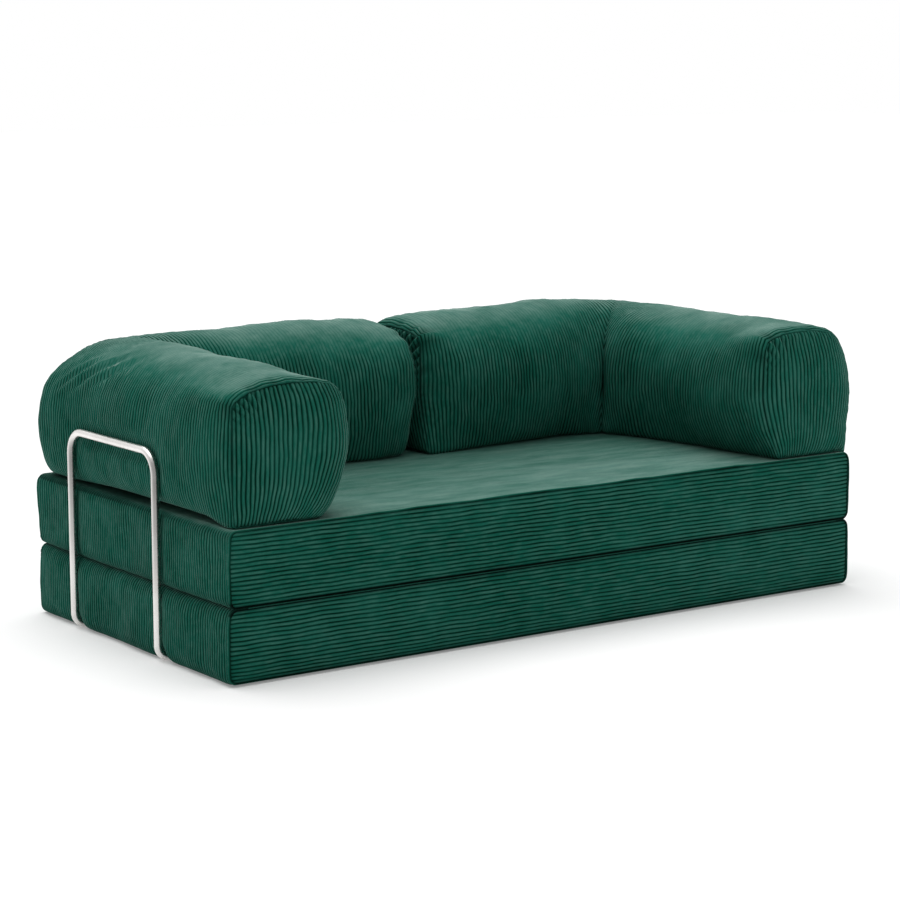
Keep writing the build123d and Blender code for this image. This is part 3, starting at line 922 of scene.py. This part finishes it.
def corduroy_material(name, streaks, fine, pile):
    """Green corduroy. streaks, fine and pile stretch the large and small streaks and the tufts."""
    material, tree, shader = node_setup(name)
    coordinates = tree.nodes.new("ShaderNodeTexCoord").outputs
    place, even = coordinates["Object"], (1, 1, 1)

    def attribute(key):
        node = tree.nodes.new("ShaderNodeAttribute")
        node.attribute_name = key
        return node.outputs["Fac"]

    wale, shade = attribute("wale"), attribute("shade")
    nap = noise(tree, place, streaks, 5.0, 5.0)
    fibre = noise(tree, place, even, 900.0, 3.0, 0.7)
    tuft = noise(tree, place, pile, 62.0, 3.0, 0.65)
    patch = noise(tree, place, even, 8.0, 4.0, 0.6)
    streak = noise(tree, place, fine, 6.0, 4.0, 0.6)

    # the dye, its ridges lighter on the tufts with a painted highlight, and painted shade in the valleys of
    # the wales, less so in patches
    dye = ramp(tree, nap, (0.25, (0.006, 0.108, 0.074)), (0.5, (0.014, 0.132, 0.094)),
               (0.78, (0.030, 0.164, 0.124)))
    ridge = ramp(tree, wale, (0.55, 0), (0.95, 1))
    tufts_and_painted_highlight = maths(tree, "MULTIPLY", ramp(tree, tuft, (0.40, 0), (0.70, 0.58)), ridge)
    dye = mix(tree, tufts_and_painted_highlight, dye, (0.076, 0.205, 0.162))
    # painted shade in the valleys of the wales, lighter in patches
    painted_valley_shade = ramp(tree, wale, (0.0, (0.0, 0.05, 0.035)), (0.50, (0.02, 0.35, 0.29)),
                (0.82, (0.60, 0.84, 0.81)), (1.0, 1))
    painted_valley_shade = mix(tree, ramp(tree, patch, (0.42, 0), (0.66, 0.42)), painted_valley_shade, (0.66, 0.74, 0.74))
    colour = mix(tree, 1.0, dye, painted_valley_shade, "MULTIPLY")
    colour = mix(tree, 1.0, colour, ramp(tree, patch, (0.30, 0.84), (0.70, 1.14)), "MULTIPLY")

    # painted sheen: a lighter brushed colour on the ridges where the pile is seen at a slant, and painted
    # light on faces that look up, both less in painted shade
    painted_sheen = ramp(tree, facing(tree, 0.35), (0.44, 0), (0.58, 0.18), (0.74, 1))
    painted_top_light = ramp(tree, height_of(tree, coordinates["Normal"]), (0.74, 0), (0.97, 0.58))
    painted_sheen = maths(tree, "MAXIMUM", painted_sheen, painted_top_light)
    painted_sheen = maths(tree, "MULTIPLY", ramp(tree, wale, (0.45, 0), (1.0, 1)), painted_sheen)
    painted_sheen = maths(tree, "MULTIPLY", painted_sheen, ramp(tree, shade, (0.40, 0.30), (0.95, 0.84)))
    lie = maths(tree, "ADD", maths(tree, "MULTIPLY", nap, 0.4), maths(tree, "MULTIPLY", streak, 0.6))
    # the lighter streaky colour that the painted sheen blends towards
    brushed = ramp(tree, lie, (0.36, (0.098, 0.205, 0.170)), (0.50, (0.190, 0.312, 0.272)),
                   (0.63, (0.28, 0.41, 0.362)))
    colour = mix(tree, painted_sheen, colour, brushed)

    # painted shade from the shade attribute
    colour = mix(tree, 1.0, colour, ramp(tree, shade, (0.0, (0.12, 0.14, 0.14)), (1.0, 1)), "MULTIPLY")
    colour = mix(tree, 1.0, colour, ramp(tree, fibre, (0.3, 0.86), (0.7, 1.12)), "MULTIPLY")
    feed(tree, shader, {
        "Base Color": colour, "Roughness": ramp(tree, fibre, (0.2, 0.78), (0.8, 0.95)),
        "Specular IOR Level": 0.05, "Sheen Weight": 0.04, "Sheen Roughness": 0.25,
        "Sheen Tint": (0.50, 0.92, 0.80),
    })
    add_bump(tree, shader, fibre, 0.35, 0.0006)
    return material


def steel_material():
    """Satin steel tube with a painted reflection: its middle darkens upwards to the bend and its edges stay
    bright.
    """
    material, tree, shader = node_setup("satin_steel")
    place = tree.nodes.new("ShaderNodeTexCoord").outputs["Object"]
    grain = noise(tree, place, (1, 1, 1), 260.0, 4.0, 0.6)
    stain = noise(tree, place, (1, 1, 1), 9.0, 3.0)
    colour = ramp(tree, stain, (0.3, (0.76, 0.735, 0.71)), (0.7, (0.90, 0.88, 0.86)))
    # painted reflection: darker with height in the middle of the tube, white towards its edges
    middle = ramp(tree, maths(tree, "MULTIPLY", height_of(tree, place), 1.8),
                  (0.0, 0.90), (0.30, 0.80), (0.58, 0.44), (0.80, 0.30), (0.89, 0.40), (0.94, 0.80))
    edge = mix(tree, ramp(tree, facing(tree, 0.5), (0.06, 0), (0.60, 1)), middle, (1, 1, 1))
    feed(tree, shader, {
        "Base Color": mix(tree, 1.0, colour, edge, "MULTIPLY"), "Metallic": 1.0,
        "Roughness": ramp(tree, grain, (0.3, 0.24), (0.7, 0.36)),
    })
    add_bump(tree, shader, grain, 0.08, 0.0003)
    return material


def plain_material(name, low, high, roughness, metallic=0.0, scale=120.0, gloss=0.5):
    """A fine-grained material between two colours."""
    material, tree, shader = node_setup(name)
    grain = noise(tree, tree.nodes.new("ShaderNodeTexCoord").outputs["Object"], (1, 1, 1), scale, 4.0)
    feed(tree, shader, {
        "Base Color": ramp(tree, grain, (0.3, low), (0.7, high)), "Roughness": roughness,
        "Metallic": metallic, "Specular IOR Level": gloss,
    })
    add_bump(tree, shader, grain, 0.2, 0.0004)
    return material


# Camera: at the photograph's place, found from the corners of the mattresses
PICTURE, FOCAL = 900, 2571.234
SENSOR = 36
CAMERA_PLACE = (-3.99706, -5.60881, 1.53738)
CAMERA_DOWN, CAMERA_TURN = 0.162182, -0.617823
camera_data = bpy.data.cameras.new("camera")
camera_data.lens = SENSOR * FOCAL / PICTURE
camera_data.sensor_width = SENSOR
camera_data.clip_end = 60
camera = bpy.data.objects.new("camera", camera_data)
camera.location = CAMERA_PLACE
camera.rotation_euler = (math.pi / 2 - CAMERA_DOWN, 0, CAMERA_TURN)
bpy.context.scene.collection.objects.link(camera)
bpy.context.scene.camera = camera
bpy.context.scene.view_settings.view_transform = "Standard"

# Materials: of the pieces made here, and of the solids by the ends of their names
corduroy = corduroy_material("green_corduroy", (1, 1, 1), (2.2, 2.2, 2.2), (1, 1, 0.33))
corduroy_seat = corduroy_material("green_corduroy_brushed", (0.35, 2.2, 1.6), (1.2, 4.6, 3.0), (0.30, 1, 1))
paints = {
    "_bracket": steel_material(),
    "_leaf": plain_material("hinge_cloth", (0.004, 0.045, 0.030), (0.009, 0.075, 0.052), 0.9, gloss=0.1),
    "_zip": plain_material("zip_tape", (0.004, 0.028, 0.019), (0.008, 0.045, 0.03), 0.85, 0.0, 400.0, 0.2),
    "_slider": plain_material("zip_metal", (0.42, 0.42, 0.43), (0.6, 0.6, 0.6), 0.35, 1.0),
    "_caps": plain_material("cap_plastic", (0.012, 0.012, 0.012), (0.022, 0.022, 0.022), 0.5),
}
for node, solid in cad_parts.items():
    for ending, material in paints.items():
        if node.endswith(ending):
            solid.data.materials.clear()
            solid.data.materials.append(material)

slab("lower", 0.0)
slab("upper", SLAB)
bolster(-1)
bolster(1)

# Floor
bpy.ops.mesh.primitive_plane_add(size=60, location=(0, 0, -0.0005))
floor = bpy.context.object
floor.name = "floor"
floor_material, tree, shader = node_setup("floor_white")
rays = tree.nodes.new("ShaderNodeLightPath").outputs
lit = maths(tree, "MAXIMUM", rays["Is Camera Ray"], rays["Is Glossy Ray"])
feed(tree, shader, {
    "Base Color": (0.86, 0.86, 0.86), "Roughness": 1.0, "Specular IOR Level": 0.0,
    "Emission Color": (1, 1, 1), "Emission Strength": maths(tree, "MULTIPLY", lit, 0.20),
})
floor.data.materials.append(floor_material)

# Backdrop: white to the camera, and a dimmer fill light on everything else
world = bpy.data.worlds.new("studio")
bpy.context.scene.world = world
world.use_nodes = True
tree = world.node_tree
rays = tree.nodes.new("ShaderNodeLightPath").outputs
seen = maths(tree, "MAXIMUM", rays["Is Camera Ray"], rays["Is Transmission Ray"])
seen = maths(tree, "MAXIMUM", seen, maths(tree, "MULTIPLY", rays["Is Glossy Ray"], 0.85))
strength = maths(tree, "ADD", maths(tree, "MULTIPLY", seen, 0.60), 0.40)
feed(tree, tree.nodes["Background"], {"Color": (1, 1, 1), "Strength": strength})


def sun(name, toward, strength, spread):
    """A large soft light, far away, in the direction toward."""
    data = bpy.data.lights.new(name, "SUN")
    data.energy = strength
    data.angle = math.radians(spread)
    lamp = bpy.data.objects.new(name, data)
    lamp.rotation_euler = Vector(toward).to_track_quat("Z", "Y").to_euler()
    bpy.context.scene.collection.objects.link(lamp)


sun("above", (-0.02, 0.22, 1.0), 2.15, 60)
sun("front", (0.5, -1.0, 0.8), 0.12, 60)
